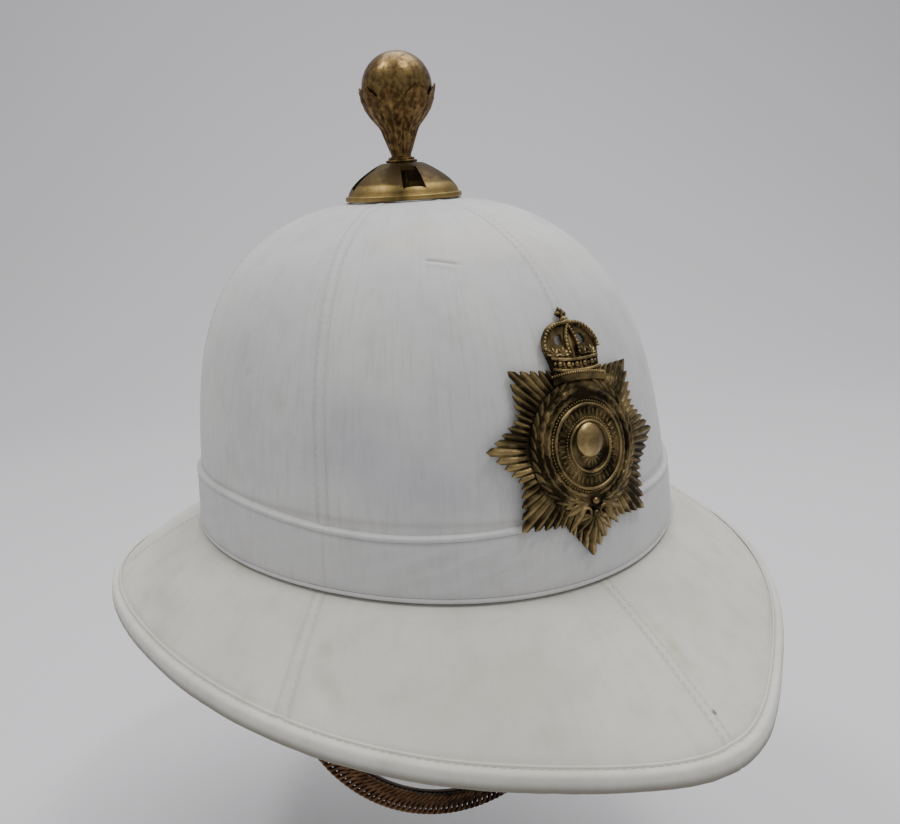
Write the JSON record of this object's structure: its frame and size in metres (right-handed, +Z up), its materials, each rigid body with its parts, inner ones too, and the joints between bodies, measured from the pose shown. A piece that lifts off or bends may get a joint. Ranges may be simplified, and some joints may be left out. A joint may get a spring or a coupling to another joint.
{
  "type": "pith helmet",
  "caption": "White cloth sun helmet with a sloping brim, banded crown, brass ball finial on a vented dome, star plate at the front and a chain chin strap.",
  "frame": {"origin": "centre of the head opening, at the height where the crown meets the brim and the wearer's headband sits", "axes": "+Z up to the finial, the front of the helmet faces -Y, +X to the wearer's left"},
  "size_m": [0.287, 0.3694, 0.3409],
  "materials": {
    "crown_cloth": "white cotton drill over cork, matt, slightly soiled",
    "brim_cloth": "white cotton drill, matt, yellowed and stained",
    "band_cloth": "white cotton, matt",
    "finial_brass": "polished brass, worn and lightly tarnished",
    "plate_brass": "stamped brass, dark with tarnish, bright on the high spots",
    "chain_brass": "brass links, brown with tarnish",
    "strap_leather": "dark leather"
  },
  "bodies": {
    "root": {"crown": "crown_cloth", "brim": "brim_cloth", "brim_binding": "brim_cloth", "band": "band_cloth", "band_top_piping": "band_cloth", "band_bottom_piping": "band_cloth", "vent_dome": "finial_brass", "leaf_cup": "finial_brass", "finial_ball": "finial_brass", "finial_post": "finial_brass", "helmet_plate": "plate_brass", "strap_leather": "strap_leather", "chin_chain": "chain_brass", "strap_rivet_left": "finial_brass", "strap_rivet_right": "finial_brass"}
  },
  "joints": []
}
